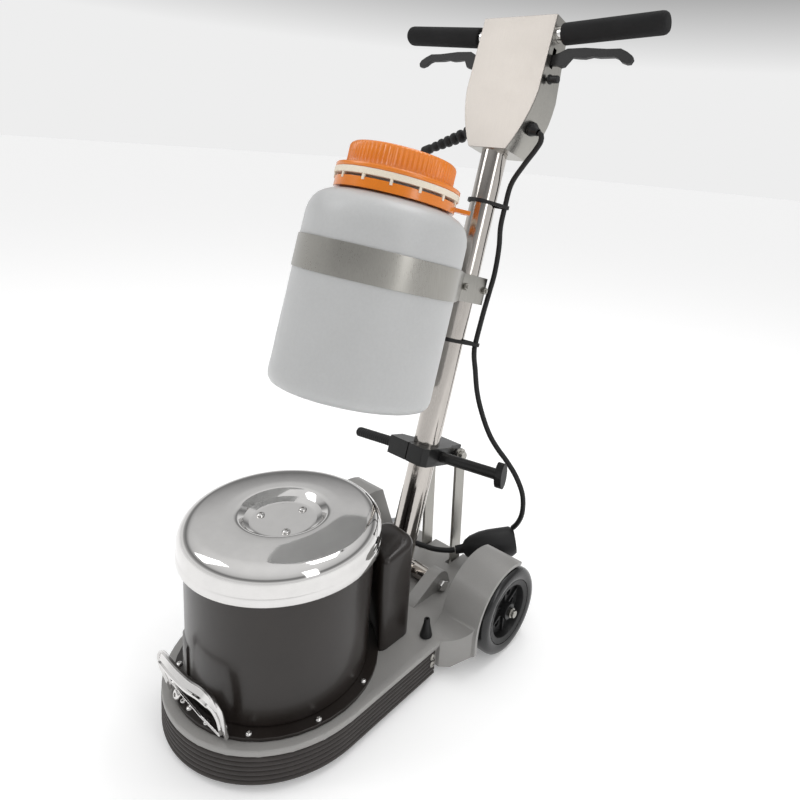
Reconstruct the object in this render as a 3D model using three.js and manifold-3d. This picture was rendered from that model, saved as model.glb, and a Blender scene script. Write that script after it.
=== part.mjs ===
// Rotary floor machine: a single-disc scrubber and polisher with a tilting pole, a solution
// bottle and two transport wheels. Millimetres, +Z up. The front of the machine faces -Y.
import * as THREE from 'three';
import { mergeVertices } from 'three/addons/utils/BufferGeometryUtils.js';
import Module from 'manifold-3d';

const wasm = await Module();
wasm.setup();

// ---- driving dimensions ----------------------------------------------------------------
const GAP = 0.3; // clearance kept between pieces that touch
const MOTOR_Y = -168.5; // the motor axis; the origin is under the middle of the whole machine

const DECK = {
  radius: 150, top: 58, lipBottom: 50, plate: 5, skirtRadius: 143, wall: 4, bottom: 14,
  sideX: 148, sideY: 176, flareX: 186, flareY: 208, innerX: 127, rearY: 370, cornerRadius: 26,
};
const BUMPER = { thickness: 8, bottom: 9, top: 49.5 };
const WHEEL = { y: 290, z: 69, radius: 69, rim: 51, inner: 157, outer: 197, bore: 6.4 };
const FENDER = { z: 63, radius: 83.5, thickness: 5, outerX: 191, rearAngle: 20 };
const PIVOT = { y: 266, z: 68, boltRadius: 6, earInner: 48, earOuter: 70, earRadius: 21 };
const FOOT = { y: 350, z: 44, pinRadius: 4 }; // lower pivot of the struts, under the deck
const STRUT = { x: 33, thickness: 5, width: 24 };
const MOTOR = { radius: 124, baseRadius: 121, wall: 6, bottom: 63.4, top: 232, plate: 6 };
const FLANGE = { radius: 137.5, top: 63, spigot: 99, spigotBottom: 34 };
const BOX = { x: 69, y: 132, halfX: 34, halfY: 34, corner: 22, top: 228, wall: 3 };
const CAP = { radius: 133, rim: 238, top: 285, shoulder: 22, recess: 61, floor: 46, depth: 13 };
const GEAR = { module: 1.25, sun: 12, planet: 36, ring: 84, bottom: 38, top: 52 };
const BRUSH = { radius: 134, tip: 14, block: 12.6 };

const TILT = THREE.MathUtils.degToRad(14.2); // the pole leans back this far when parked
const POLE = { radius: 22, wall: 2, bottom: -6, top: 912, ahead: 33.6 }; // ahead of its pivot tube
const BAR = {
  at: 925.4, behind: -2, radius: 12.5, wall: 2, half: 252, rise: THREE.MathUtils.degToRad(3.6), bend: 72,
};
const GRIP = { radius: 17.5, start: 84, end: 256 };
const HEAD = {
  bottom: 726, height: 227, lean: THREE.MathUtils.degToRad(2.1), front: 27, sheet: 2, depth: 66,
};
const LEVER = { x: 52, y: 18, z: 152, pin: 3.5, boss: 8, half: 3.5 }; // in the head's frame
const CLAMP = {
  at: 206, half: 15, pin: 59, pegY: 6, pegZ: -2.6, pegTilt: THREE.MathUtils.degToRad(5.5),
};
const BOTTLE = { ahead: 208, radius: 116.5, bottom: 306, shoulder: 548, neck: 74, mouth: 640, wall: 3 };
const LID = { radius: 77, bottom: 616, top: 655.5, flange: 90 };
const STRAP = { bottom: 468, top: 514, thickness: 1.6, bolt: 493, straight: 36 };

const COLOUR = {
  deck: 0x8f9294, rubber: 0x37332f, motor: 0x2f2b28, chrome: 0xd8d8d8, steel: 0xb4b2ae,
  black: 0x1b1b1c, orange: 0xe8760c, bottle: 0xd9dde0, seal: 0xe8dccb, brass: 0xb98b4a,
  copper: 0xa55f2a, lead: 0x8d9092, bristle: 0x2c3a52, core: 0x77797c, foam: 0x202021,
};

// ---- geometry helpers ------------------------------------------------------------------
function signedVolume(positions, index) {
  const a = new THREE.Vector3();
  const b = new THREE.Vector3();
  const c = new THREE.Vector3();
  let sum = 0;
  for (let i = 0; i < index.length; i += 3) {
    a.fromArray(positions, index[i] * 3);
    b.fromArray(positions, index[i + 1] * 3);
    c.fromArray(positions, index[i + 2] * 3);
    sum += a.dot(b.cross(c)) / 6;
  }
  return sum;
}

// A geometry with shared vertices, no slivers and its faces pointing out.
function closed(geometry) {
  const bare = geometry.clone();
  for (const name of Object.keys(bare.attributes)) {
    if (name !== 'position') bare.deleteAttribute(name);
  }
  const merged = mergeVertices(bare, 1e-3);
  const kept = [];
  for (let i = 0; i < merged.index.count; i += 3) {
    const [a, b, c] = [0, 1, 2].map((k) => merged.index.getX(i + k));
    if (a !== b && b !== c && a !== c) kept.push(a, b, c);
  }
  if (signedVolume(merged.attributes.position.array, kept) < 0) {
    for (let i = 0; i < kept.length; i += 3) [kept[i], kept[i + 1]] = [kept[i + 1], kept[i]];
  }
  merged.setIndex(kept);
  return merged;
}

function toManifold(geometry) {
  const g = closed(geometry);
  const mesh = new wasm.Mesh({
    numProp: 3,
    vertProperties: new Float32Array(g.attributes.position.array),
    triVerts: new Uint32Array(g.index.array),
  });
  return new wasm.Manifold(mesh);
}

function fromManifold(solid) {
  const mesh = solid.getMesh();
  const g = new THREE.BufferGeometry();
  g.setAttribute('position', new THREE.BufferAttribute(new Float32Array(mesh.vertProperties), 3));
  g.setIndex(Array.from(mesh.triVerts));
  return g;
}

function join(...parts) {
  return fromManifold(parts.map(toManifold).reduce((a, b) => a.add(b)));
}

function cut(base, ...tools) {
  return fromManifold(tools.map(toManifold).reduce((a, b) => a.subtract(b), toManifold(base)));
}

function common(a, b) {
  return fromManifold(toManifold(a).intersect(toManifold(b)));
}

function box(x0, x1, y0, y1, z0, z1) {
  const g = new THREE.BoxGeometry(x1 - x0, y1 - y0, z1 - z0);
  return g.translate((x0 + x1) / 2, (y0 + y1) / 2, (z0 + z1) / 2);
}

// A solid of revolution about Z from [radius, height] pairs.
function turned(points, segments = 40) {
  const g = new THREE.LatheGeometry(points.map(([r, z]) => new THREE.Vector2(r, z)), segments);
  return g.rotateX(Math.PI / 2);
}

// A ring or disc about Z.
function ring(inner, outer, z0, z1, segments = 40) {
  if (inner <= 0) return turned([[0, z0], [outer, z0], [outer, z1], [0, z1]], segments);
  return turned([[inner, z0], [outer, z0], [outer, z1], [inner, z1], [inner, z0]], segments);
}

function rod(radius, x0, x1, y, z, segments = 20) {
  const g = new THREE.CylinderGeometry(radius, radius, x1 - x0, segments);
  return g.rotateZ(Math.PI / 2).translate((x0 + x1) / 2, y, z);
}

function post(radius, x, y, z0, z1, segments = 20) {
  const g = new THREE.CylinderGeometry(radius, radius, z1 - z0, segments);
  return g.rotateX(Math.PI / 2).translate(x, y, (z0 + z1) / 2);
}

function prism(shape, z0, z1, curveSegments = 12) {
  const g = new THREE.ExtrudeGeometry(shape, { depth: z1 - z0, bevelEnabled: false, curveSegments });
  return g.translate(0, 0, z0);
}

// A shape drawn as (y, z) and extruded along X.
function sidePrism(shape, x0, x1, curveSegments = 12) {
  const g = prism(shape, x0, x1, curveSegments);
  return g.rotateY(Math.PI / 2).rotateX(Math.PI / 2);
}

// A plain round tube along a smooth curve through the points.
function lead(points, radius, sides, steps) {
  const curve = new THREE.CatmullRomCurve3(points.map((p) => new THREE.Vector3(...p)), false, 'centripetal');
  const section = new THREE.Shape();
  for (let i = 0; i < sides; i += 1) {
    const a = (i / sides) * 2 * Math.PI;
    const [x, y] = [radius * Math.cos(a), radius * Math.sin(a)];
    if (i === 0) section.moveTo(x, y);
    else section.lineTo(x, y);
  }
  section.closePath();
  return new THREE.ExtrudeGeometry(section, { steps, bevelEnabled: false, extrudePath: curve });
}

function polygon(points) {
  return new THREE.Shape(points.map(([x, y]) => new THREE.Vector2(x, y)));
}

const polar = (r, a) => [r * Math.cos(a), r * Math.sin(a)];

// ---- scene graph -----------------------------------------------------------------------
const machine = new THREE.Group();
const base = new THREE.Group(); // origin on the motor axis at floor level
base.position.y = MOTOR_Y;
machine.add(base);

const handle = new THREE.Group(); // origin on the tilt pivot, +Z up the pole
handle.position.set(0, PIVOT.y, PIVOT.z);
handle.rotation.x = -TILT;
base.add(handle);

const column = new THREE.Group(); // the same frame, moved ahead onto the pole's axis
column.position.y = -POLE.ahead;
handle.add(column);

const head = new THREE.Group(); // control head, leaning back a little more than the pole
head.position.set(0, -HEAD.front, HEAD.bottom);
head.rotation.x = -HEAD.lean;
column.add(head);

function add(group, name, geometry, colour, roughness = 0.5, metalness = 0) {
  const material = new THREE.MeshStandardMaterial({ color: COLOUR[colour], roughness, metalness });
  const mesh = new THREE.Mesh(closed(geometry), material);
  mesh.name = name;
  group.add(mesh);
  return mesh;
}

// ---- deck ------------------------------------------------------------------------------
// Plan outline: round front about the motor axis, sides that flare out to the mudguards.
function deckOutline(inset) {
  const r = DECK.radius - inset;
  const s = new THREE.Shape();
  s.moveTo(r, 0);
  s.lineTo(DECK.sideX - inset, DECK.sideY);
  s.lineTo(DECK.flareX - inset, DECK.flareY);
  s.lineTo(DECK.flareX - inset, DECK.flareY + 4);
  s.lineTo(DECK.innerX - inset, DECK.flareY + 4);
  s.lineTo(DECK.innerX - inset, DECK.rearY - DECK.cornerRadius);
  const corner = DECK.cornerRadius - inset;
  const cx = DECK.innerX - DECK.cornerRadius;
  s.absarc(cx, DECK.rearY - DECK.cornerRadius, corner, 0, Math.PI / 2, false);
  s.absarc(-cx, DECK.rearY - DECK.cornerRadius, corner, Math.PI / 2, Math.PI, false);
  s.lineTo(-DECK.innerX + inset, DECK.flareY + 4);
  s.lineTo(-DECK.flareX + inset, DECK.flareY + 4);
  s.lineTo(-DECK.flareX + inset, DECK.flareY);
  s.lineTo(-DECK.sideX + inset, DECK.sideY);
  s.lineTo(-r, 0);
  s.absarc(0, 0, r, Math.PI, 2 * Math.PI, false);
  return s;
}

// The band that the bumper fills: the round front and the straight sides only.
function bandOutline(radius) {
  const s = new THREE.Shape();
  const x = radius - (DECK.radius - DECK.sideX);
  s.moveTo(radius, 0);
  s.lineTo(x, DECK.sideY);
  s.lineTo(-x, DECK.sideY);
  s.lineTo(-radius, 0);
  s.absarc(0, 0, radius, Math.PI, 2 * Math.PI, false);
  return s;
}

function mudguard(side) {
  const { z, radius, thickness, outerX } = FENDER;
  const [x0, x1] = side > 0 ? [DECK.innerX - 4, outerX] : [-outerX, -DECK.innerX + 4];
  const rear = Math.PI / 2 - THREE.MathUtils.degToRad(FENDER.rearAngle);
  const arch = new THREE.Shape();
  arch.moveTo(WHEEL.y - radius, 34);
  arch.lineTo(WHEEL.y - radius, z);
  arch.absarc(WHEEL.y, z, radius, Math.PI, rear, true);
  arch.absarc(WHEEL.y, z, radius - thickness, rear, Math.PI, false);
  arch.lineTo(WHEEL.y - radius + thickness, 34);
  arch.closePath();
  const inside = new THREE.Shape();
  inside.moveTo(WHEEL.y - radius + 1, DECK.top - 4);
  inside.lineTo(WHEEL.y - radius + 1, z);
  inside.absarc(WHEEL.y, z, radius - 1, Math.PI, rear, true);
  inside.lineTo(WHEEL.y + 62, DECK.top - 4);
  inside.closePath();
  const ramp = new THREE.Shape(); // concave foot that blends the guard into the deck
  ramp.moveTo(WHEEL.y - radius - 30, DECK.top - 2);
  ramp.lineTo(WHEEL.y - radius - 30, DECK.top);
  ramp.absarc(WHEEL.y - radius - 30, DECK.top + 34, 34, -Math.PI / 2, -0.32, false);
  ramp.lineTo(WHEEL.y - radius + 4, DECK.top - 2);
  ramp.closePath();
  const reach = prism(deckOutline(0), DECK.top - 2, 140);
  const [wallX0, wallX1] = side > 0 ? [x0, x0 + 5] : [x1 - 5, x1];
  const [bossX0, bossX1] = side > 0 ? [x0 + 4, 152] : [-152, x1 - 4];
  const guard = join(
    sidePrism(arch, x0, x1, 8),
    sidePrism(inside, wallX0, wallX1, 8),
    common(sidePrism(ramp, x0, x1, 5), reach),
    rod(16, bossX0, bossX1, WHEEL.y, WHEEL.z, 12),
  );
  const [boreX0, boreX1] = side > 0 ? [135, 160] : [-160, -135];
  return cut(guard, rod(6 + GAP, boreX0, boreX1, WHEEL.y, WHEEL.z, 10));
}

function ear(side) {
  const [x0, x1] = side > 0 ? [PIVOT.earInner, PIVOT.earOuter] : [-PIVOT.earOuter, -PIVOT.earInner];
  const s = new THREE.Shape();
  s.moveTo(PIVOT.y - 66, DECK.top - 2);
  s.lineTo(PIVOT.y - 62, DECK.top + 2);
  s.lineTo(PIVOT.y - 12, PIVOT.z + 18);
  s.absarc(PIVOT.y, PIVOT.z, PIVOT.earRadius, 2.18, 0.45, true);
  s.lineTo(PIVOT.y + 27, DECK.top - 2);
  s.closePath();
  return sidePrism(s, x0, x1);
}

function deckHousing() {
  const shell = cut(
    join(
      prism(deckOutline(0), DECK.lipBottom, DECK.top, 6),
      prism(deckOutline(7), DECK.bottom, DECK.lipBottom + 1, 6),
    ),
    prism(deckOutline(7 + DECK.wall), DECK.bottom - 1, DECK.top - DECK.plate, 6),
  );
  // behind the bumper the skirt runs out flush with the lip, and its foot slopes up to the arch
  const flare = new THREE.Shape();
  flare.moveTo(DECK.sideX, DECK.sideY + 0.6);
  flare.lineTo(DECK.flareX, DECK.flareY);
  flare.lineTo(DECK.flareX, DECK.flareY + 4);
  flare.lineTo(DECK.sideX - 9, DECK.flareY - 26);
  flare.lineTo(DECK.sideX - 9, DECK.sideY + 0.6);
  flare.closePath();
  const right = prism(flare, DECK.bottom, DECK.top - 1);
  const left = right.clone().scale(-1, 1, 1);
  const wedge = new THREE.Shape();
  wedge.moveTo(DECK.sideX + 8, DECK.bottom - 4);
  wedge.lineTo(DECK.flareX + 6, DECK.bottom - 4);
  wedge.lineTo(DECK.flareX + 6, 38);
  wedge.closePath();
  const slope = prism(wedge, -260, -120).rotateX(Math.PI / 2);
  let g = join(shell, right, closed(left), mudguard(1), mudguard(-1), ear(1), ear(-1));
  const lug = box(16, 27, FOOT.y - 11, FOOT.y + 11, FOOT.z - 9, DECK.top - DECK.plate + 1);
  g = join(g, lug, closed(lug.clone().scale(-1, 1, 1)));
  const slot = (x) => box(x - 4.5, x + 4.5, FOOT.y - 22, FOOT.y + 34, 30, DECK.top + 2);
  const slots = [slot(STRUT.x), slot(-STRUT.x)];
  return cut(
    g,
    slope,
    closed(slope.clone().scale(-1, 1, 1)),
    ring(0, FLANGE.spigot + GAP, DECK.top - DECK.plate - 1, DECK.top + 1, 28),
    rod(12.5 + GAP, -PIVOT.earInner, PIVOT.earInner, PIVOT.y, PIVOT.z, 20),
    rod(PIVOT.boltRadius + GAP, -80, 80, PIVOT.y, PIVOT.z, 16),
    rod(FOOT.pinRadius + GAP, -40, 40, FOOT.y, FOOT.z, 10),
    post(5, 124, 171, DECK.top - DECK.plate - 1, DECK.top + 1, 12),
    ...slots,
  );
}
add(base, 'deck_housing', deckHousing(), 'deck', 0.5, 0.2);

const bumper = cut(
  prism(bandOutline(DECK.skirtRadius + BUMPER.thickness), BUMPER.bottom, BUMPER.top, 16),
  prism(bandOutline(DECK.skirtRadius + GAP), BUMPER.bottom - 1, BUMPER.top + 1, 16),
);
const bumperBack = box(-120, 120, DECK.sideY - 10, DECK.sideY + 10, 0, 60);
add(base, 'bumper', cut(bumper, bumperBack), 'rubber', 0.7);

const boltHead = (x0, x1) => rod(9.5, x0, x1, PIVOT.y, PIVOT.z, 6);
const pivotBolt = join(
  rod(PIVOT.boltRadius, -78, 78, PIVOT.y, PIVOT.z, 12),
  boltHead(70 + GAP, 80),
  boltHead(-80, -70 - GAP),
);
add(base, 'pivot_bolt', pivotBolt, 'chrome', 0.15, 1);
add(base, 'strut_foot_pin', rod(FOOT.pinRadius, -41, 41, FOOT.y, FOOT.z, 10), 'steel', 0.3, 1);

const inlet = turned([[0, 44], [4.5, 44], [4.5, 58.3], [9.5, 58.3], [9.5, 61], [5, 80], [4.4, 87], [0, 87]], 14);
add(base, 'solution_inlet', cut(inlet, ring(0, 2.4, 40, 90, 8)).translate(124, 171, 0), 'black', 0.5);

// ---- motor and gearbox, fixed parts ----------------------------------------------------
const flange = cut(
  join(
    ring(0, FLANGE.radius, DECK.top + GAP, FLANGE.top, 40),
    ring(0, FLANGE.spigot, FLANGE.spigotBottom, DECK.top + 1, 28),
  ),
  ring(0, 80 + GAP, FLANGE.spigotBottom - 1, 54, 28),
  ring(0, 10 + GAP, 50, 66, 20),
);
add(base, 'motor_flange', flange, 'motor', 0.3, 0.3);

function motorHousing() {
  const { radius: r, baseRadius: rb, wall: w, bottom: b, top: t, plate: p } = MOTOR;
  const body = turned([[rb - w, b], [rb, b], [r, t], [0, t], [0, t - p], [r - w, t - p], [rb - w, b]], 36);
  const pad = common(
    turned([[0, b], [rb + 3, b], [rb + 3, 128], [rb, 134], [0, 134]], 36),
    box(-20, 20, -140, -(rb - 2), b, 140).rotateZ(THREE.MathUtils.degToRad(-22)),
  );
  const around = (r2, degrees) => polar(r2, THREE.MathUtils.degToRad(degrees));
  const postTop = CAP.top - CAP.depth - 3 - GAP;
  const posts = [90, 210, 330].map((d) => post(5, ...around(32, d), t - 1, postTop, 8));
  const vents = [0, 90, 180, 270].map((d) => post(12, ...around(70, d), t - p - 1, t + 1, 8));
  return cut(join(body, pad, ...posts), ring(0, 16 + GAP, t - p - 1, t + 1, 20), ...vents);
}
add(base, 'motor_housing', motorHousing(), 'motor', 0.45, 0.2);

function motorCap() {
  const { radius: r, rim, top, shoulder: s, recess, floor, depth } = CAP;
  const wall = 2.5;
  const outer = [[r - 1, rim], [r, rim + 8], [r - 1, top - s]];
  const inner = [[r - 1 - wall, rim], [r - wall, rim + 8], [r - 1 - wall, top - s]];
  for (const a of [30, 60]) {
    const [c, d] = polar(1, THREE.MathUtils.degToRad(a));
    outer.push([r - 1 - s + s * c, top - s + s * d - 1.5]);
    inner.push([r - 1 - s + (s - wall) * c, top - s + (s - wall) * d - 1.5]);
  }
  outer.push([r - s - 6, top - 0.8], [recess, top], [floor, top - depth], [0, top - depth]);
  inner.push([r - s - 6, top - 0.8 - wall], [recess - 1, top - wall]);
  inner.push([floor - 1, top - depth - wall], [0, top - depth - wall]);
  return turned([...outer, ...inner.reverse(), outer[0]], 32);
}
add(base, 'motor_cap', motorCap(), 'chrome', 0.08, 1);

add(base, 'stator', ring(60, 113, 90, 182, 24), 'copper', 0.5, 0.6);
add(base, 'shaft_bearing', ring(10 + GAP, 16, MOTOR.top - MOTOR.plate, MOTOR.top, 20), 'steel', 0.25, 1);

// V-shaped teeth between a root and a tip radius; the pitch lies nearer the tip, for backlash.
function toothed(teeth, phase, internal) {
  const m = GEAR.module;
  const pitch = (teeth * m) / 2;
  const [tip, root] = internal ? [pitch - 0.35 * m, pitch + 0.6 * m] : [pitch + 0.35 * m, pitch - 0.6 * m];
  const points = [];
  for (let i = 0; i < teeth; i += 1) {
    points.push(polar(tip, phase + (i / teeth) * 2 * Math.PI));
    points.push(polar(root, phase + ((i + 0.5) / teeth) * 2 * Math.PI));
  }
  return points;
}
const carrierRadius = ((GEAR.sun + GEAR.planet) * GEAR.module) / 2;
const sunPitch = (GEAR.sun * GEAR.module) / 2;
const planetPitch = (GEAR.planet * GEAR.module) / 2;
const ringPitch = (GEAR.ring * GEAR.module) / 2;
const halfTooth = (Math.PI * GEAR.module) / 2;
// Turn of a planet that puts its gap on the sun's tooth, for a planet at angle a.
const planetPhase = (a) => a + Math.PI - (-sunPitch * a + halfTooth) / planetPitch;
const ringPhase = (planetPitch * planetPhase(0) - halfTooth) / ringPitch;

const ringBlank = new THREE.Shape();
ringBlank.absarc(0, 0, 80, 0, 2 * Math.PI, false);
const ringTeeth = toothed(GEAR.ring, ringPhase, true).reverse();
ringBlank.holes.push(new THREE.Path(ringTeeth.map((p) => new THREE.Vector2(...p))));
add(base, 'ring_gear', prism(ringBlank, GEAR.bottom, GEAR.top, 14), 'steel', 0.35, 1);

// ---- capacitor box beside the motor ----------------------------------------------------
function boxOutline(inset) {
  const s = new THREE.Shape();
  const [w, d, r] = [BOX.halfX - inset, BOX.halfY - inset, BOX.corner - inset];
  s.moveTo(-w, -d);
  s.lineTo(w, -d);
  s.absarc(w - r, d - r, r, 0, Math.PI / 2, false);
  s.absarc(-w + r, d - r, r, Math.PI / 2, Math.PI, false);
  return s;
}

// A cover with a roof that falls away from the motor, scooped out to clear motor and flange.
function capacitorBox() {
  const roof = polygon([[-50, BOX.top - 28], [14, BOX.top], [50, BOX.top - 3], [50, 260], [-50, 260]]);
  const side = polygon([[-50, 0], [50, -16], [50, 40], [-50, 40]]);
  const shell = cut(
    prism(boxOutline(0), DECK.top + GAP, BOX.top, 6),
    prism(boxOutline(BOX.wall), DECK.top - 1, BOX.top - 34, 6),
    sidePrism(roof, -60, 60),
    sidePrism(side, -60, 60).rotateZ(-Math.PI / 2).translate(0, 0, BOX.top - 3),
  ).translate(BOX.x, BOX.y, 0);
  return cut(shell, ring(0, FLANGE.radius + GAP, 50, MOTOR.bottom, 48), ring(0, MOTOR.radius + 0.6, 50, 230, 48));
}
add(base, 'capacitor_box', capacitorBox(), 'motor', 0.4, 0.1);
add(base, 'capacitor', post(17, 72, 141, DECK.top + GAP, 165, 20), 'black', 0.35, 0.3);

// ---- front lifting handle --------------------------------------------------------------
function frontHandle() {
  const grip = [[-46, -127, 65.2], [-53, -136, 100], [-56, -140, 113], [-48, -143, 119], [-11, -146, 122],
    [20, -145, 122], [40, -140, 121], [52, -136, 115], [60, -129, 95], [62, -122, 65.2]];
  const half = 131; // the foot plate is a strip of a ring on the flange
  const foot = common(ring(half - 6, half + 5, FLANGE.top + GAP, FLANGE.top + 3, 48), box(-54, 70, -150, -90, 50, 80));
  return join(lead(grip, 5, 8, 16), foot);
}
add(base, 'front_handle', frontHandle(), 'chrome', 0.12, 1);

// ---- wheels ----------------------------------------------------------------------------
function axle(side) {
  const pin = join(rod(6, 138, 205, 0, 0, 10), rod(11, 152.4, 155, 0, 0, 12), rod(8, 197, 200, 0, 0, 10));
  return side > 0 ? pin : closed(pin.scale(-1, 1, 1));
}

function rim() {
  const { rim: r, inner, outer } = WHEEL;
  const mid = (inner + outer) / 2;
  const hoop = turned([[r - 9, -16], [r, -18], [r, 18], [r - 9, 16], [r - 12, 5], [r - 12, -5], [r - 9, -16]], 22);
  const hub = ring(WHEEL.bore, 13, -18, 18, 12);
  const web = ring(12, r - 10, -4, 4, 22);
  const holes = [];
  for (let i = 0; i < 6; i += 1) holes.push(post(6, ...polar(25, (i + 0.5) * (Math.PI / 3)), -10, 10, 6));
  return cut(join(hoop, hub, web), ...holes).rotateY(Math.PI / 2).translate(mid, 0, 0);
}

function tyre() {
  const { rim: r, radius, inner, outer } = WHEEL;
  const mid = (inner + outer) / 2;
  const profile = [[r + GAP, -18], [radius - 6, -20], [radius, -12], [radius, 12], [radius - 6, 20],
    [r + GAP, 18], [r + GAP, -18]];
  return turned(profile, 32).rotateY(Math.PI / 2).translate(mid, 0, 0);
}

for (const [name, side] of [['right', 1], ['left', -1]]) {
  const corner = new THREE.Group();
  corner.position.set(0, WHEEL.y, WHEEL.z);
  base.add(corner);
  add(corner, `axle_${name}`, axle(side), 'steel', 0.3, 1);
  add(corner, `wheel_rim_${name}`, side > 0 ? rim() : closed(rim().scale(-1, 1, 1)), 'black', 0.4);
  add(corner, `tyre_${name}`, side > 0 ? tyre() : closed(tyre().scale(-1, 1, 1)), 'black', 0.3);
}

// ---- rotor, planets, output and brush --------------------------------------------------
const sunGear = prism(polygon(toothed(GEAR.sun, 0, false)), GEAR.bottom, GEAR.top);
const shaft = join(ring(0, 10, 54, MOTOR.top, 16), ring(0, 5.5, GEAR.bottom, 55, 12), sunGear);
const armature = join(shaft, ring(0, 58.5, 88, 184, 24));
const blades = [];
for (let i = 0; i < 6; i += 1) blades.push(box(18, 84, -1.5, 1.5, 193, 216).rotateZ((i * Math.PI) / 3));
const fan = join(ring(0, 20, 192, 216, 16), ring(0, 86, 190, 194, 24), ...blades);
add(base, 'rotor', join(armature, fan), 'core', 0.4, 0.8);

for (let i = 0; i < 3; i += 1) {
  const angle = (i * 2 * Math.PI) / 3;
  const outline = polygon(toothed(GEAR.planet, planetPhase(angle), false));
  const gear = cut(prism(outline, GEAR.bottom + 0.5, GEAR.top - 0.5), ring(0, 5 + GAP, 30, 60, 12));
  add(base, `planet_gear_${i + 1}`, gear.translate(...polar(carrierRadius, angle), 0), 'steel', 0.35, 1);
}

const pins = [0, 120, 240].map((d) => post(5, ...polar(carrierRadius, THREE.MathUtils.degToRad(d)), 36, GEAR.top - 1, 10));
add(base, 'output_carrier', join(ring(0, 78, BRUSH.tip + BRUSH.block + GAP, 37, 32), ...pins), 'steel', 0.4, 1);
add(base, 'brush_block', ring(22, BRUSH.radius, BRUSH.tip, BRUSH.tip + BRUSH.block, 28), 'black', 0.5);
add(base, 'brush_bristles', ring(50, BRUSH.radius - 3, 0, BRUSH.tip - GAP, 28), 'bristle', 0.8);

// ---- pole, handlebar and grips -----------------------------------------------------------
// The head's own frame: X across, Y back from the front plate, Z up from its lower edge.
const inHead = (g) => g.translate(0, HEAD.front, -HEAD.bottom).rotateX(HEAD.lean);
const outOfHead = (g) => g.rotateX(-HEAD.lean).translate(0, -HEAD.front, HEAD.bottom);
const mirrored = (g, side) => (side > 0 ? g : closed(g.scale(-1, 1, 1)));

function pole() {
  const tube = cut(
    ring(0, POLE.radius, POLE.bottom, POLE.top, 24),
    ring(0, POLE.radius - POLE.wall, 14, POLE.top + 1, 16),
  );
  const cross = join(
    rod(12.5, -PIVOT.earInner + 0.5, PIVOT.earInner - 0.5, POLE.ahead, 0, 20),
    box(-14, 14, 12, POLE.ahead, -6, 11),
  );
  const ahead = outOfHead(box(-60, 60, -80, HEAD.sheet + GAP, -1, 300)); // slanted where the plate sits
  return cut(join(tube, cross), rod(PIVOT.boltRadius + GAP, -90, 90, POLE.ahead, 0, 16), ahead);
}
add(column, 'pole', pole(), 'chrome', 0.15, 1);

// Anything along the bar: the middle lies across, the outer parts rise from the bends.
function alongBar(radius, half, segments) {
  const right = rod(radius, BAR.bend - 1, half, 0, 0, segments).translate(-BAR.bend, 0, 0).rotateY(-BAR.rise);
  right.translate(BAR.bend, 0, 0);
  return join(rod(radius, -BAR.bend, BAR.bend, 0, 0, segments), right, mirrored(right.clone(), -1));
}
const bar = cut(alongBar(BAR.radius, BAR.half, 16), alongBar(BAR.radius - BAR.wall, BAR.half + 1, 12));
add(column, 'handlebar', bar.translate(0, BAR.behind, BAR.at), 'chrome', 0.15, 1);

for (const [name, side] of [['right', 1], ['left', -1]]) {
  const r = GRIP.radius;
  const outline = [[BAR.radius + GAP, GRIP.start], [r - 1, GRIP.start], [r, GRIP.start + 2], [r, GRIP.end - 6],
    [r - 4, GRIP.end], [0, GRIP.end], [0, BAR.half + GAP], [BAR.radius + GAP, BAR.half + GAP],
    [BAR.radius + GAP, GRIP.start]];
  const sleeve = turned(outline, 18).rotateY(Math.PI / 2).translate(-BAR.bend, 0, 0).rotateY(-BAR.rise);
  add(column, `grip_${name}`, mirrored(sleeve.translate(BAR.bend, BAR.behind, BAR.at), side), 'foam', 0.9);
}

// ---- clamp, its screw and the struts -----------------------------------------------------
const slider = new THREE.Group();
slider.position.z = CLAMP.at;
column.add(slider);
const pegLine = new THREE.Group(); // the peg and the lever share this slanting cross axis
pegLine.position.set(0, CLAMP.pegY, CLAMP.pegZ);
pegLine.rotation.y = -CLAMP.pegTilt;
slider.add(pegLine);

function clampBlock() {
  const plan = polygon([[-49, -37], [24, -37], [32, -29], [32, 28], [24, 42], [24, 69], [-24, 69], [-24, 42],
    [-32, 28], [-32, 2], [-49, -8]]);
  const bore = rod(6 + GAP, -60, 60, 0, 0, 12).rotateY(-CLAMP.pegTilt);
  bore.translate(0, CLAMP.pegY, CLAMP.pegZ);
  const notch = sidePrism(polygon([[80, -20], [80, -3], [62, -15.5]]), -30, 30);
  const slit = box(-9, -7, -60, -12, -30, 30);
  const poleHole = ring(0, POLE.radius + GAP, -30, 30, 32);
  return cut(prism(plan, -CLAMP.half, CLAMP.half), poleHole, slit, bore, notch);
}
add(slider, 'clamp_block', clampBlock(), 'black', 0.4);
add(pegLine, 'clamp_peg', join(rod(6, -43, -24, 0, 0, 12), rod(8.5, -165, -42, 0, 0, 12)), 'black', 0.6);
const oval = new THREE.Shape().absellipse(0, 0, 8.5, 20, 0, 2 * Math.PI, false, 0);
const knob = sidePrism(oval, 145, 158, 8);
add(pegLine, 'clamp_lever', join(rod(6, 24, 40, 0, 0, 12), rod(9, 34, 147, 0, 0, 12), knob), 'black', 0.4);

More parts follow.
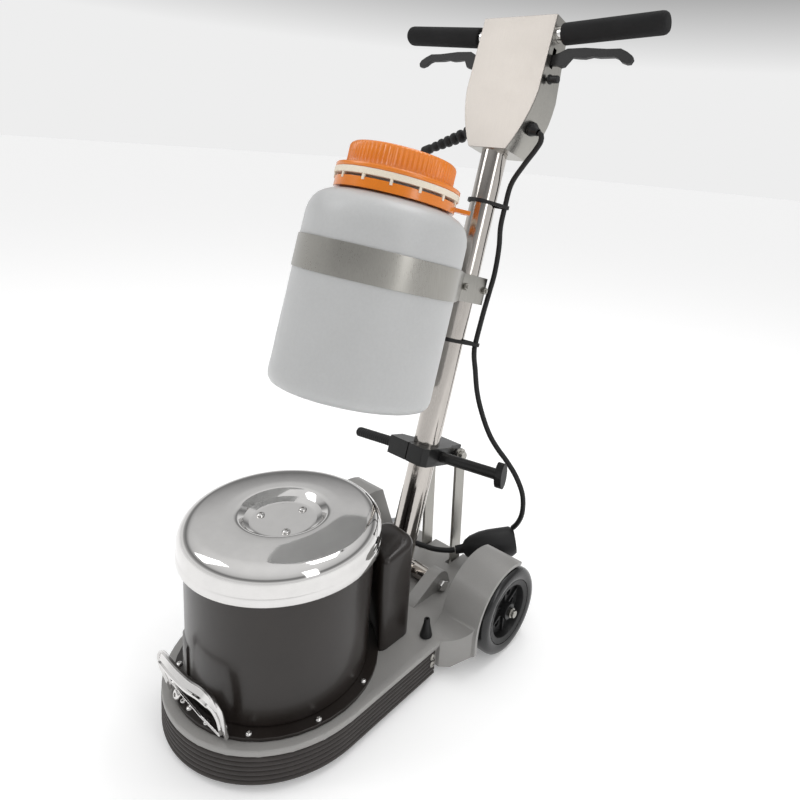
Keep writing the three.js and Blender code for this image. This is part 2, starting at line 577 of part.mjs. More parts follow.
const pinBehind = CLAMP.pin - POLE.ahead;
const clampPoint = new THREE.Vector2(
  PIVOT.y + Math.sin(TILT) * CLAMP.at + Math.cos(TILT) * pinBehind,
  PIVOT.z + Math.cos(TILT) * CLAMP.at - Math.sin(TILT) * pinBehind,
);
for (const [name, side] of [['right', 1], ['left', -1]]) {
  const length = Math.hypot(clampPoint.x - FOOT.y, clampPoint.y - FOOT.z);
  const half = STRUT.width / 2;
  const s = new THREE.Shape();
  s.absarc(0, 0, half, Math.PI, 2 * Math.PI, false);
  s.absarc(0, length, half, 0, Math.PI, false);
  s.closePath();
  const flat = sidePrism(s, STRUT.x - STRUT.thickness / 2, STRUT.x + STRUT.thickness / 2, 8);
  const bolt = rod(8, 24 + GAP, STRUT.x + 9, 0, length, 8);
  const strut = cut(join(flat, bolt), rod(FOOT.pinRadius + GAP, 0, 60, 0, 0, 10));
  const mesh = add(base, `strut_${name}`, mirrored(strut, side), 'steel', 0.3, 1);
  mesh.position.set(0, FOOT.y, FOOT.z);
  mesh.rotation.x = Math.atan2(FOOT.y - clampPoint.x, clampPoint.y - FOOT.z);
}

// ---- control head ------------------------------------------------------------------------
function headOutline(inset) {
  const s = new THREE.Shape();
  const [w, foot, h] = [73 - inset, 38 - inset, HEAD.height - inset];
  s.moveTo(-foot, inset);
  s.lineTo(foot, inset);
  s.quadraticCurveTo(w - 6, 48, w, 100);
  s.lineTo(w, h);
  s.lineTo(-w, h);
  s.lineTo(-w, 100);
  s.quadraticCurveTo(-w + 6, 48, -foot, inset);
  return s;
}
// A shape drawn as (x, z) and extruded from y0 back to y1.
const frontPrism = (shape, y0, y1, curveSegments = 6) => prism(shape, -y1, -y0, curveSegments).rotateX(Math.PI / 2);

function headBox() {
  const { sheet, depth, height } = HEAD;
  const taper = (y) => polygon([[y, 60], [y - 26, height + 4], [y + 30, height + 4], [y + 30, 60]]);
  const slope = (y) => sidePrism(taper(y), -90, 90);
  const outer = cut(frontPrism(headOutline(0), sheet + GAP, depth), slope(depth));
  const inner = cut(frontPrism(headOutline(sheet), sheet - 1, depth - sheet), slope(depth - sheet - 0.1));
  const pin = (x) => post(LEVER.pin, x, -LEVER.z, 3, 53, 10).rotateX(-Math.PI / 2);
  const slot = (x) => box(x, x + 20, LEVER.y - 5, LEVER.y + 5, LEVER.z - 8, LEVER.z + 25);
  return cut(
    join(cut(outer, inner), pin(LEVER.x), pin(-LEVER.x)),
    slot(60),
    slot(-80),
    inHead(ring(0, POLE.radius + GAP, HEAD.bottom - 30, HEAD.bottom + 60, 28)),
    inHead(rod(BAR.radius + GAP + 0.1, -90, 90, BAR.behind, BAR.at, 24)),
    rod(3 + GAP, 60, 90, 15.3, 123.8, 10),
  );
}
add(head, 'head_box', headBox(), 'steel', 0.3, 1);
add(head, 'head_plate', frontPrism(headOutline(0), 0, HEAD.sheet), 'steel', 0.35, 1);

// A brake-type lever: boss on its pin, arm out through the slot, blade under the grip, hooked tip.
const leverOutline = polygon([[-18, -4], [-7, -7], [0, -8], [10, -4], [32, -4], [40, -7.5], [47, -6], [51, 0],
  [57, 8.5], [70, 7], [81, 6.5], [94, 9], [106, 7.5], [119, 7.5], [131, 7.5], [138, 5], [145, -1], [154, -4],
  [160, -3.5], [163, 3], [160, 9], [151, 15], [139, 20.5], [116, 20.5], [77, 23.5], [46, 23], [32, 16], [14, 10],
  [0, 8], [-10, 4], [-18, 1]]);
for (const [name, side] of [['right', 1], ['left', -1]]) {
  const pivot = new THREE.Group();
  pivot.position.set(side * LEVER.x, LEVER.y, LEVER.z);
  head.add(pivot);
  const pinHole = post(LEVER.pin + GAP, 0, 0, -20, 20, 10).rotateX(Math.PI / 2);
  const blade = cut(frontPrism(leverOutline, -LEVER.half, LEVER.half), pinHole);
  add(pivot, `lever_${name}`, mirrored(blade, side), 'black', 0.45);
}

const button = join(rod(3, 53, 79, 0, 0, 10), rod(8, 77.6, 81, 0, 0, 12), rod(6.2, 80, 95, 0, 0, 12));
const buttonMesh = add(head, 'lock_button', button, 'black', 0.45);
buttonMesh.position.set(0, 15.3, 123.8);
const switchBody = join(box(26, 46, HEAD.sheet + GAP, 30, 92, 138), box(31, 37, 12, 24, 137, 145));
add(head, 'control_switch', switchBody, 'black', 0.5);

// Gland and strain relief stand square on the slanting lower walls.
function onLowerWall(g, seat, slant, side) {
  return mirrored(g.rotateY(Math.PI / 2 + THREE.MathUtils.degToRad(slant)).translate(...seat), side);
}
const gland = turned([[0, 0.5], [12, 0.5], [12, 6], [10, 9], [6.5, 16], [6.5, 18], [0, 18]], 12);
const glandBody = cut(gland, ring(0, 4.6 + GAP, 8, 30, 8));
add(head, 'lead_gland', onLowerWall(glandBody, [59.6, 25.2, 44.4], 20.4, 1), 'black', 0.5);
const ribbed = [[0, 0.5], [13, 0.5], [12.5, 14], [8, 16]];
for (let i = 0; i < 5; i += 1) {
  const r = 11.5 - i * 0.7;
  ribbed.push([6.5, 21 + i * 14], [r, 25 + i * 14], [r, 29 + i * 14]);
}
ribbed.push([6.5, 92], [8.5, 95], [8.5, 111], [0, 111]);
const sleeve = cut(turned(ribbed, 8), ring(0, 4.4 + GAP, 100, 120, 8));
add(head, 'strain_relief', onLowerWall(sleeve, [55.4, 25.2, 34], 23, -1), 'black', 0.55);

// ---- solution bottle, lid and strap ------------------------------------------------------
const bottle = new THREE.Group(); // on the bottle's axis, which runs beside the pole
bottle.position.y = -BOTTLE.ahead;
column.add(bottle);

function bottleBody() {
  const { radius: r, bottom: b, shoulder: s, neck: n, mouth: m, wall: w } = BOTTLE;
  return turned([
    [0, b], [r - 11, b], [r - 3, b + 5], [r, b + 14], [r, s], [r - 4, s + 15],
    [r - 14, s + 28], [r - 28, s + 36], [n, s + 40], [n, m], [n - w, m], [n - w, s + 37], [r - 17, s + 25],
    [r - w, s], [r - w, b + 15], [r - 9, b + w], [0, b + w],
  ], 30);
}
add(bottle, 'bottle', bottleBody(), 'bottle', 0.35);

const neckClear = BOTTLE.neck + 3 * GAP;
const tab = cut(box(84, 110, -9, 9, 594, 600), post(4, 101, 0, 590, 610, 8));
tab.rotateZ(THREE.MathUtils.degToRad(42));
const collar = cut(join(ring(70, 88, 589, 603, 32), tab), ring(0, neckClear, 580, 610, 28));
add(bottle, 'bottle_collar', collar, 'orange', 0.45);
add(bottle, 'lid_seal', ring(neckClear, 90.5, 607, LID.bottom - GAP, 28), 'seal', 0.6);

const lid = new THREE.Group();
bottle.add(lid);
const lidShell = turned([[neckClear + 0.5, LID.bottom], [LID.flange, LID.bottom], [LID.flange, 622],
  [LID.radius + 1, 624], [LID.radius, LID.top - 4], [LID.radius - 4, LID.top], [0, LID.top], [0, LID.top - 3],
  [LID.radius - 7, LID.top - 3], [neckClear + 0.5, 646], [neckClear + 0.5, LID.bottom]], 32);
add(lid, 'bottle_lid', lidShell, 'orange', 0.4);

// A steel band round the bottle whose two tails run back along both sides of the pole.
function strapOutline(radius, x) {
  const reach = Math.hypot(x, BOTTLE.ahead - STRAP.straight);
  const touch = Math.atan2(BOTTLE.ahead - STRAP.straight, x) - Math.acos(radius / reach);
  const [tx, ty] = polar(radius, touch);
  return { touch, tx, ty: ty - BOTTLE.ahead };
}
function bottleStrap() {
  const [r, x] = [BOTTLE.radius + GAP, POLE.radius + GAP + 0.1];
  const outer = strapOutline(r + STRAP.thickness, x + STRAP.thickness);
  const inner = strapOutline(r, x);
  const s = new THREE.Shape();
  s.moveTo(x + STRAP.thickness, 31);
  s.lineTo(x + STRAP.thickness, -STRAP.straight);
  s.absarc(0, -BOTTLE.ahead, r + STRAP.thickness, outer.touch, Math.PI - outer.touch, true);
  s.lineTo(-x - STRAP.thickness, -STRAP.straight);
  s.lineTo(-x - STRAP.thickness, 31);
  s.lineTo(-x, 31);
  s.lineTo(-x, -STRAP.straight);
  s.absarc(0, -BOTTLE.ahead, r, Math.PI - inner.touch, inner.touch, false);
  s.lineTo(x, -STRAP.straight);
  s.lineTo(x, 31);
  const holes = [-27, 27].map((y) => rod(3 + GAP, -40, 40, y, STRAP.bolt, 6));
  return cut(prism(s, STRAP.bottom, STRAP.top, 16), ...holes);
}
add(column, 'bottle_strap', bottleStrap(), 'steel', 0.25, 1);
for (const [name, y] of [['front', -27], ['rear', 27]]) {
  const nut = (x0, x1) => rod(6, x0, x1, y, STRAP.bolt, 6);
  const bolt = join(rod(3, -31, 31, y, STRAP.bolt, 6), nut(24.4, 29), nut(-29, -24.4));
  add(column, `strap_bolt_${name}`, bolt, 'steel', 0.25, 1);
}

// ---- leads and ties ----------------------------------------------------------------------
// Both machine leads are drawn in the handle's frame or the base's, where each one is held.
const headLead = [[77.9, -0.45, 762.7], [82.5, 1, 759.5], [81, 6, 751], [71, 12, 738], [54, 15, 713],
  [34, 20, 679], [32, 20, 639], [32, 21, 604], [35, 26, 571], [33, 34, 525], [27, 40, 490], [27, 37, 455], [32, 28, 418], [33, 26, 396]];
add(column, 'handle_lead', lead(headLead, 4.5, 8, 28), 'black', 0.5);
const tie = (x, y, z, turn) => {
  const outline = (inset) => {
    const r = 27 - inset;
    const s = new THREE.Shape();
    s.absarc(0, 0, r, Math.PI / 2, 1.5 * Math.PI, false);
    s.absarc(x, y, 7.5 - inset, -Math.PI / 2, Math.PI / 2, false);
    s.closePath();
    return s;
  };
  return cut(prism(outline(0), z - 3, z + 3, 6), prism(outline(2), z - 5, z + 5, 6)).rotateZ(turn);
};
add(column, 'cable_tie_upper', tie(37.7, 0, 638, Math.atan2(20, 32)), 'black', 0.5);
add(column, 'cable_tie_lower', tie(42, 0, 401, Math.atan2(26.4, 32.8)), 'black', 0.5);

const loop = [[33, 355.2, 451], [34, 355.6, 438], [37, 358, 415], [42, 363, 373], [52, 370, 334],
  [66, 379, 297], [80, 386, 275], [97, 393, 255], [114, 399, 232], [128, 403, 204], [132, 404, 181],
  [131, 403.5, 160], [124, 402.5, 142], [117.5, 401, 132.5]];
add(base, 'lead_loop', lead(loop, 4.5, 8, 26), 'black', 0.5);

// The lead's plug and socket, joined: a pear-shaped body leaning behind the right wheel.
const connectorEnd = new THREE.Vector3(122, 405, 108);
const connectorStart = new THREE.Vector3(46, 333, 88);
function connector() {
  const span = connectorEnd.clone().sub(connectorStart);
  const l = span.length();
  const profile = [[0, 0], [7, 0], [8, 14], [14, 18], [20, 28], [24.5, 45], [26, 62], [25.5, l - 8], [21, l], [0, l]];
  const turn = new THREE.Quaternion().setFromUnitVectors(new THREE.Vector3(0, 0, 1), span.normalize());
  return turned(profile, 16).applyQuaternion(turn).translate(...connectorStart);
}
add(base, 'lead_connector', connector(), 'black', 0.55);
const shortLead = [[45.3, 332.4, 87.8], [37, 325, 86.5], [16, 312, 85.5], [-1, 306, 86], [-22, 298, 88], [-35, 286, 93],
  [-36, 262, 97], [-30, 225, 92], [-8, 185, 84], [10, 156, 85], [21, 142, 86], [33.9, 140, 86]];
add(base, 'deck_lead', lead(shortLead, 4.5, 8, 24), 'black', 0.5);

// Mains lead: down behind the machine to the floor, the rest of it put away as a coil.
const COIL = { x: -290, y: 150, inner: 62, outer: 100, height: 32, leave: Math.PI / 6 };
const mains = [[-155.5, 406.9, 771.5], [-168, 406, 766], [-181, 404.5, 752], [-187, 402, 715],
  [-178, 402, 640], [-146, 404, 530], [-92, 402, 445], [-64, 399, 400], [-70, 398, 340], [-84, 400, 280],
  [-96, 404, 220], [-112, 410, 160], [-126, 416, 100], [-146, 420, 50], [-184, 418, 9], [-236, 402, 5],
  [-284, 372, 4.6], [-318, 330, 4.6], [-338, 290, 4.6], [-352, 255, 4.6], [-362.5, 226.5, 4.6]];
add(base, 'mains_lead', lead(mains, 4, 8, 52), 'lead', 0.5);
const { inner: coilIn, outer: coilOut, height: coilTop } = COIL;
const coil = turned([[coilIn, 8], [coilIn + 8, 0], [coilOut - 8, 0], [coilOut, 8], [coilOut, coilTop - 8],
  [coilOut - 8, coilTop], [coilIn + 8, coilTop], [coilIn, coilTop - 8], [coilIn, 8]], 24);
add(base, 'mains_coil', coil.translate(COIL.x, COIL.y, 0), 'lead', 0.5);
const plug = join(
  turned([[0, 0], [5, 0], [7, 12], [17, 26], [18, 50], [0, 50]], 14),
  box(-7.5, -5, -3, 3, 49, 68), box(5, 7.5, -3, 3, 49, 68), post(2.4, 0, 7, 49, 70, 8),
).rotateX(Math.PI / 2).rotateZ(Math.PI + COIL.leave);
const [tangentX, tangentY] = polar(COIL.outer - 4, COIL.leave); // the lead runs straight on from here
plug.translate(tangentX - 45 * Math.sin(COIL.leave), tangentY + 45 * Math.cos(COIL.leave), 18);
add(base, 'mains_plug', plug.translate(COIL.x, COIL.y, 0), 'black', 0.5);

export default machine;
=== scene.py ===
"""Rotary floor machine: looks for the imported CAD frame. Metres, +Z up, the front faces -Y."""
import math
import bpy
import bmesh
from mathutils import Matrix, Vector


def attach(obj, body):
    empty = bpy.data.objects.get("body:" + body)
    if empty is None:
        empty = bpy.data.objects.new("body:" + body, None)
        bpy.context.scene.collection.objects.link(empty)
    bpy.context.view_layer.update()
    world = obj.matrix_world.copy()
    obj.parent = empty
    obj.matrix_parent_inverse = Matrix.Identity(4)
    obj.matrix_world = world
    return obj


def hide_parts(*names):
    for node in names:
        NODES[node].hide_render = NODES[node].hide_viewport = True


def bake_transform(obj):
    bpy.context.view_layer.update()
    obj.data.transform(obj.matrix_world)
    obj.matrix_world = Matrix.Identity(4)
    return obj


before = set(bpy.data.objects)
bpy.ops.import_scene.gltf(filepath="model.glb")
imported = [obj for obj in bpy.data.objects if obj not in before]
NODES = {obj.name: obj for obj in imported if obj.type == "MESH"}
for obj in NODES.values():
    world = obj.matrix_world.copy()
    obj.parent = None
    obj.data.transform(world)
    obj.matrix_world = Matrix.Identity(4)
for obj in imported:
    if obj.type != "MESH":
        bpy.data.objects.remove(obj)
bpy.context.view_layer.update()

# ---- frames of the CAD groups ------------------------------------------------------------
TILT = math.radians(14.2)
BASE = Matrix.Translation((0, -0.1685, 0))
HANDLE = BASE @ Matrix.Translation((0, 0.266, 0.068)) @ Matrix.Rotation(-TILT, 4, "X")
COLUMN = HANDLE @ Matrix.Translation((0, -0.0336, 0))
HEAD = COLUMN @ Matrix.Translation((0, -0.027, 0.726)) @ Matrix.Rotation(math.radians(-2.1), 4, "X")
BOTTLE = COLUMN @ Matrix.Translation((0, -0.208, 0))
PEG = COLUMN @ Matrix.Translation((0, 0.006, 0.2034)) @ Matrix.Rotation(math.radians(-5.5), 4, "Y")


def mm(group, points):
    """Points in millimetres in a group's frame, as vectors in metres in the row frame."""
    return [group @ (Vector(p) / 1000) for p in points]


# ---- camera ------------------------------------------------------------------------------
camera = bpy.data.objects.new("camera", bpy.data.cameras.new("camera"))
bpy.context.scene.collection.objects.link(camera)
right = (0.79109, 0.60598, 0.08337)
up = (-0.18619, 0.10873, 0.97648)
back = (0.58267, -0.78801, 0.19885)
turn = Matrix((right, up, back)).transposed().to_4x4()
camera.matrix_world = Matrix.Translation((0.656, -0.6645, 0.772)) @ turn
camera.data.lens = 29.14
camera.data.sensor_width = 36
camera.data.shift_x = -0.0954
camera.data.shift_y = -0.1411
camera.data.clip_start = 0.01
bpy.context.scene.camera = camera


# ---- materials ---------------------------------------------------------------------------
def material(name, colour, roughness, metallic=0.0, grain=400.0, bump=0.1, depth=0.0003, tint=0.12,
             stretch=(1, 1, 1), coat=0.0, subsurface=0.0, rough_span=0.1, dust=0.0, specular=0.5):
    """A principled material with grain, mottled colour and uneven gloss, all from object coordinates."""
    m = bpy.data.materials.new(name)
    m.use_nodes = True
    tree = m.node_tree
    shader = tree.nodes["Principled BSDF"]
    add, join = tree.nodes.new, tree.links.new
    place = add("ShaderNodeTexCoord")
    mapping = add("ShaderNodeMapping")
    mapping.inputs["Scale"].default_value = stretch
    join(place.outputs["Object"], mapping.inputs["Vector"])
    fine = add("ShaderNodeTexNoise")
    fine.inputs["Scale"].default_value = grain
    fine.inputs["Detail"].default_value = 6
    join(mapping.outputs["Vector"], fine.inputs["Vector"])
    broad = add("ShaderNodeTexNoise")
    broad.inputs["Scale"].default_value = 14
    broad.inputs["Detail"].default_value = 8
    join(place.outputs["Object"], broad.inputs["Vector"])
    blend = add("ShaderNodeMath")
    blend.operation = "ADD"
    join(fine.outputs["Fac"], blend.inputs[0])
    join(broad.outputs["Fac"], blend.inputs[1])
    ramp = add("ShaderNodeValToRGB")
    dark = [c * (1 - tint) for c in colour]
    light = [min(1, c * (1 + tint) + dust) for c in colour]
    ramp.color_ramp.elements[0].position = 0.36
    ramp.color_ramp.elements[1].position = 0.64
    ramp.color_ramp.elements[0].color = (*dark, 1)
    ramp.color_ramp.elements[1].color = (*light, 1)
    half = add("ShaderNodeMath")
    half.operation = "MULTIPLY"
    half.inputs[1].default_value = 0.5
    join(blend.outputs[0], half.inputs[0])
    join(half.outputs[0], ramp.inputs["Fac"])
    join(ramp.outputs["Color"], shader.inputs["Base Color"])
    gloss = add("ShaderNodeMapRange")
    gloss.inputs["From Min"].default_value = 0.3
    gloss.inputs["From Max"].default_value = 0.7
    gloss.inputs["To Min"].default_value = max(0.02, roughness - rough_span / 2)
    gloss.inputs["To Max"].default_value = roughness + rough_span / 2
    join(half.outputs[0], gloss.inputs["Value"])
    join(gloss.outputs["Result"], shader.inputs["Roughness"])
    relief = add("ShaderNodeBump")
    relief.inputs["Strength"].default_value = bump
    relief.inputs["Distance"].default_value = depth
    join(fine.outputs["Fac"], relief.inputs["Height"])
    join(relief.outputs["Normal"], shader.inputs["Normal"])
    shader.inputs["Metallic"].default_value = metallic
    shader.inputs["Coat Weight"].default_value = coat
    shader.inputs["Coat Roughness"].default_value = 0.12
    shader.inputs["Specular IOR Level"].default_value = specular
    if subsurface:
        shader.inputs["Subsurface Weight"].default_value = subsurface
        shader.inputs["Subsurface Radius"].default_value = (1.0, 1.0, 1.0)
        shader.inputs["Subsurface Scale"].default_value = 0.02
    return m


LOOKS = {
    "deck_paint": dict(colour=(0.3, 0.293, 0.283), roughness=0.42, metallic=0.15, grain=900, bump=0.35,
                       depth=0.0004, tint=0.06, coat=0.15),
    "bumper_rubber": dict(colour=(0.032, 0.027, 0.025), roughness=0.55, grain=1200, bump=0.3, tint=0.25,
                          dust=0.01, specular=0.3),
    "motor_paint": dict(colour=(0.019, 0.015, 0.013), roughness=0.33, metallic=0.1, grain=1500, bump=0.25,
                        tint=0.2, coat=0.25, specular=0.35),
    "chrome": dict(colour=(0.68, 0.67, 0.66), roughness=0.07, metallic=1, grain=60, bump=0.02, tint=0.03,
                   rough_span=0.05),
    "steel": dict(colour=(0.36, 0.35, 0.325), roughness=0.3, metallic=1, grain=300, bump=0.12, tint=0.08,
                  stretch=(4, 4, 0.1)),
    "brushed_plate": dict(colour=(0.36, 0.335, 0.31), roughness=0.36, metallic=0.9, grain=300, bump=0.15,
                          tint=0.07, stretch=(6, 0.3, 0.15)),
    "winding": dict(colour=(0.35, 0.13, 0.05), roughness=0.35, metallic=0.6, grain=900, bump=0.6, tint=0.3,
                    stretch=(1, 1, 6)),
    "black_plastic": dict(colour=(0.012, 0.012, 0.0125), roughness=0.42, grain=1800, bump=0.25, tint=0.25,
                          specular=0.3),
    "black_paint": dict(colour=(0.014, 0.014, 0.014), roughness=0.36, metallic=0.2, grain=900, bump=0.3,
                        tint=0.25, coat=0.2, specular=0.3),
    "black_rubber": dict(colour=(0.011, 0.011, 0.0115), roughness=0.5, grain=1500, bump=0.3, tint=0.3,
                         specular=0.3),
    "foam_rubber": dict(colour=(0.016, 0.016, 0.0165), roughness=0.9, grain=1600, bump=0.9, depth=0.0005,
                        tint=0.35, specular=0.2),
    "bottle_plastic": dict(colour=(0.5, 0.505, 0.505), roughness=0.38, grain=260, bump=0.08, tint=0.03,
                           subsurface=0.35),
    "orange_plastic": dict(colour=(0.74, 0.2, 0.008), roughness=0.24, grain=700, bump=0.12, tint=0.08,
                           coat=0.3),
    "seal_rubber": dict(colour=(0.78, 0.7, 0.58), roughness=0.6, grain=900, bump=0.25, tint=0.1),
    "bristle": dict(colour=(0.02, 0.03, 0.08), roughness=0.6, grain=900, bump=0.9, depth=0.001, tint=0.4,
                    stretch=(1, 1, 0.05)),
    "grey_lead": dict(colour=(0.32, 0.33, 0.34), roughness=0.5, grain=900, bump=0.2, tint=0.08),
    "pole_steel": dict(colour=(0.5, 0.47, 0.44), roughness=0.12, metallic=1, grain=200, bump=0.05,
                       tint=0.08, stretch=(5, 5, 0.1)),
    "tyre": dict(colour=(0.008, 0.008, 0.0085), roughness=0.24, grain=700, bump=0.15, tint=0.3,
                 rough_span=0.16),
}
M = {name: material(name, **look) for name, look in LOOKS.items()}


# ---- mesh helpers ------------------------------------------------------------------------
def piece(name, bm, mat, body, nodes=(), sharp=35, bevel=0.0, segments=2):
    """An object from a bmesh, facing out, smooth up to an angle, riding on a body."""
    bmesh.ops.recalc_face_normals(bm, faces=bm.faces)
    mesh = bpy.data.meshes.new(name)
    bm.to_mesh(mesh)
    bm.free()
    mesh.shade_smooth()
    mesh.set_sharp_from_angle(angle=math.radians(sharp))
    o = bpy.data.objects.new(name, mesh)
    bpy.context.scene.collection.objects.link(o)
    mesh.materials.append(M[mat])
    if bevel:
        rounding = o.modifiers.new("rounding", "BEVEL")
        rounding.width = bevel
        rounding.segments = segments
        rounding.limit_method = "ANGLE"
        rounding.angle_limit = math.radians(sharp)
        rounding.harden_normals = True
    if body:
        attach(o, body)
    if nodes:
        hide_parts(*nodes)
    return o


def refined(node, mat, body, bevel=0.0008, segments=2, sharp=35):
    """The CAD node's own shape with its flat faces merged and its edges rounded."""
    bm = bmesh.new()
    bm.from_mesh(NODES[node].data)
    bmesh.ops.remove_doubles(bm, verts=bm.verts, dist=1e-6)
    bmesh.ops.dissolve_limit(bm, angle_limit=math.radians(1.0), verts=bm.verts, edges=bm.edges)
    return piece(node + "_detail", bm, mat, body, (node,), sharp, bevel, segments)


def skin(rings, closed_ring=True, caps=True, loop=False):
    """A bmesh through a list of rings of points, with the same number in each."""
    bm = bmesh.new()
    rows = [[bm.verts.new(p) for p in ring] for ring in rings]
    n = len(rows[0])
    pairs = list(zip(rows, rows[1:])) + ([(rows[-1], rows[0])] if loop else [])
    for a, b in pairs:
        for i in range(n if closed_ring else n - 1):
            j = (i + 1) % n
            bm.faces.new((a[i], a[j], b[j], b[i]))
    if caps and not loop:
        bm.faces.new(rows[0][::-1])
        bm.faces.new(rows[-1])
    return bm


def lathe(name, profile, group, mat, body, nodes=(), around=96, wave=None, sharp=35, closed=False):
    """A turned piece about the group's Z from [radius, height] in millimetres; wave adds to the radius."""
    rings = []
    for k, (r, z) in enumerate(profile):
        ring = []
        for i in range(around):
            a = 2 * math.pi * i / around
            rr = max(0.02, r + (wave(a, z, k) if wave else 0))
            ring.append(group @ (Vector((rr * math.cos(a), rr * math.sin(a), z)) / 1000))
        rings.append(ring)
    return piece(name, skin(rings, loop=closed), mat, body, nodes, sharp)


def smooth(points, spacing=0.004):
    """A centripetal Catmull-Rom line through the points, cut into short steps."""
    ends = [2 * points[0] - points[1]] + list(points) + [2 * points[-1] - points[-2]]
    line = []
    for p0, p1, p2, p3 in zip(ends, ends[1:], ends[2:], ends[3:]):
        t1 = max(1e-6, (p1 - p0).length ** 0.5)
        t2 = t1 + max(1e-6, (p2 - p1).length ** 0.5)
        t3 = t2 + max(1e-6, (p3 - p2).length ** 0.5)
        steps = max(1, round((p2 - p1).length / spacing))
        for k in range(steps):
            t = t1 + (t2 - t1) * k / steps
            a1 = p0 * ((t1 - t) / t1) + p1 * (t / t1)
            a2 = p1 * ((t2 - t) / (t2 - t1)) + p2 * ((t - t1) / (t2 - t1))
            a3 = p2 * ((t3 - t) / (t3 - t2)) + p3 * ((t - t2) / (t3 - t2))
            b1 = a1 * ((t2 - t) / t2) + a2 * (t / t2)
            b2 = a2 * ((t3 - t) / (t3 - t1)) + a3 * ((t - t1) / (t3 - t1))
            line.append(b1 * ((t2 - t) / (t2 - t1)) + b2 * ((t - t1) / (t2 - t1)))
    return line + [points[-1]]


def tube(name, line, radius, mat, body=None, nodes=(), sides=14):
    """A round tube along a line, its section carried along without twist."""
    rings = []
    side = Vector((1, 0, 0))
    for i, p in enumerate(line):
        ahead = (line[min(i + 1, len(line) - 1)] - line[max(i - 1, 0)]).normalized()
        side = (side - ahead * side.dot(ahead)).normalized()
        other = ahead.cross(side)
        rings.append([p + radius * (math.cos(a) * side + math.sin(a) * other)
                      for a in [2 * math.pi * k / sides for k in range(sides)]])
    return piece(name, skin(rings), mat, body, nodes, sharp=60)


# ---- cords -------------------------------------------------------------------------------
COIL = {"x": -290, "y": 150, "inner": 66, "step": 10, "turns": 4, "layers": 4, "rise": 7.9, "steps": 20}
mains = mm(BASE, [
    (-154.4, 407.0, 772), (-168, 406, 766), (-181, 404.5, 752), (-187, 402, 715), (-178, 402, 640),
    (-146, 404, 530), (-92, 402, 445), (-64, 399, 400), (-70, 398, 340), (-84, 400, 280), (-96, 404, 220),
    (-112, 410, 160), (-126, 416, 100), (-146, 420, 50), (-184, 418, 9), (-236, 402, 5), (-284, 372, 4.6),
    (-318, 330, 4.6), (-338, 290, 4.6), (-352, 255, 4.6), (-363, 225, 4.6)])


def coil_points():
    """Turns wound inwards and outwards in turn, each layer on the one below."""
    points = []
    start = math.radians(150)
    turns, layers, steps = COIL["turns"], COIL["layers"], COIL["steps"]
    outer = COIL["inner"] + COIL["step"] * (turns - 1)
    places = []
    for layer in range(layers):
        for t in range(turns):
            radius = outer - COIL["step"] * t if layer % 2 == 0 else COIL["inner"] + COIL["step"] * t
            places.append((radius, 4.4 + COIL["rise"] * layer))
    places.append(places[-1])
    total = turns * layers * steps - int(steps * (150 - 30) / 360)
    for i in range(1, total + 1):
        turn_number, part = divmod(i, steps)
        ease = max(0.0, (part / steps - 0.7) / 0.3)
        ease = ease * ease * (3 - 2 * ease)
        (r0, z0), (r1, z1) = places[turn_number], places[min(turn_number + 1, len(places) - 1)]
        r, z = r0 + (r1 - r0) * ease, z0 + (z1 - z0) * ease
        a = start + 2 * math.pi * i / steps
        points.append((COIL["x"] + r * math.cos(a), COIL["y"] + r * math.sin(a), z))
    return points


leave = math.radians(30)
tangent = Vector((COIL["x"] + 96 * math.cos(leave), COIL["y"] + 96 * math.sin(leave), 0))
ahead = Vector((-math.sin(leave), math.cos(leave), 0))
tail = [tangent + ahead * 22 + Vector((0, 0, 24)), tangent + ahead * 44.5 + Vector((0, 0, 18))]
cord_line = smooth(mains + mm(BASE, coil_points() + tail), 0.008)
plug = refined("mains_plug", "black_rubber", "deck", 0.0008)
cord = tube("mains_cord", cord_line, 0.004, "grey_lead", None, ("mains_lead", "mains_coil"), 10)
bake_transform(cord)

# the machine's own lead: held along the pole, hanging in one loop, then plugged in on the deck
tube("handle_lead_detail", smooth(mm(COLUMN, [
    (77.9, -0.45, 762.7), (82.5, 1, 759.5), (81, 6, 751), (71, 12, 738), (54, 15, 713), (34, 20, 679),
    (32, 20, 639), (32, 21, 604), (35, 26, 571), (33, 34, 525), (27, 40, 490), (27, 37, 455), (32, 28, 418),
    (33, 26, 396)])),
    0.0045, "black_rubber", "handle", ("handle_lead",))
loop_line = smooth(mm(BASE, [
    (33, 355.7, 453.4), (34, 355.6, 438), (37, 358, 415), (42, 363, 373), (52, 370, 334), (66, 379, 297),
    (80, 386, 275), (97, 393, 255), (114, 399, 232), (128, 403, 204), (132, 404, 181), (131, 403.5, 160),
    (124, 402.5, 142), (117.5, 401, 132.5)]))
loop = tube("lead_loop_detail", loop_line, 0.0045, "black_rubber", None, ("lead_loop",))
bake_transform(loop)
tube("deck_lead_detail", smooth(mm(BASE, [
    (45.3, 332.4, 87.8), (37, 325, 86.5), (16, 312, 85.5), (-1, 306, 86), (-22, 298, 88), (-35, 286, 93),
    (-36, 262, 97), (-30, 225, 92), (-8, 185, 84), (10, 156, 85), (21, 142, 86), (33.9, 140, 86)])),
    0.0045, "black_rubber", "deck", ("deck_lead",))

# ---- deck and bumper ---------------------------------------------------------------------
refined("deck_housing", "deck_paint", "deck", 0.0016, 3, sharp=30)


DECK_TAPER, DECK_SIDE = 2, 176    # each side leans in by this much over its straight length


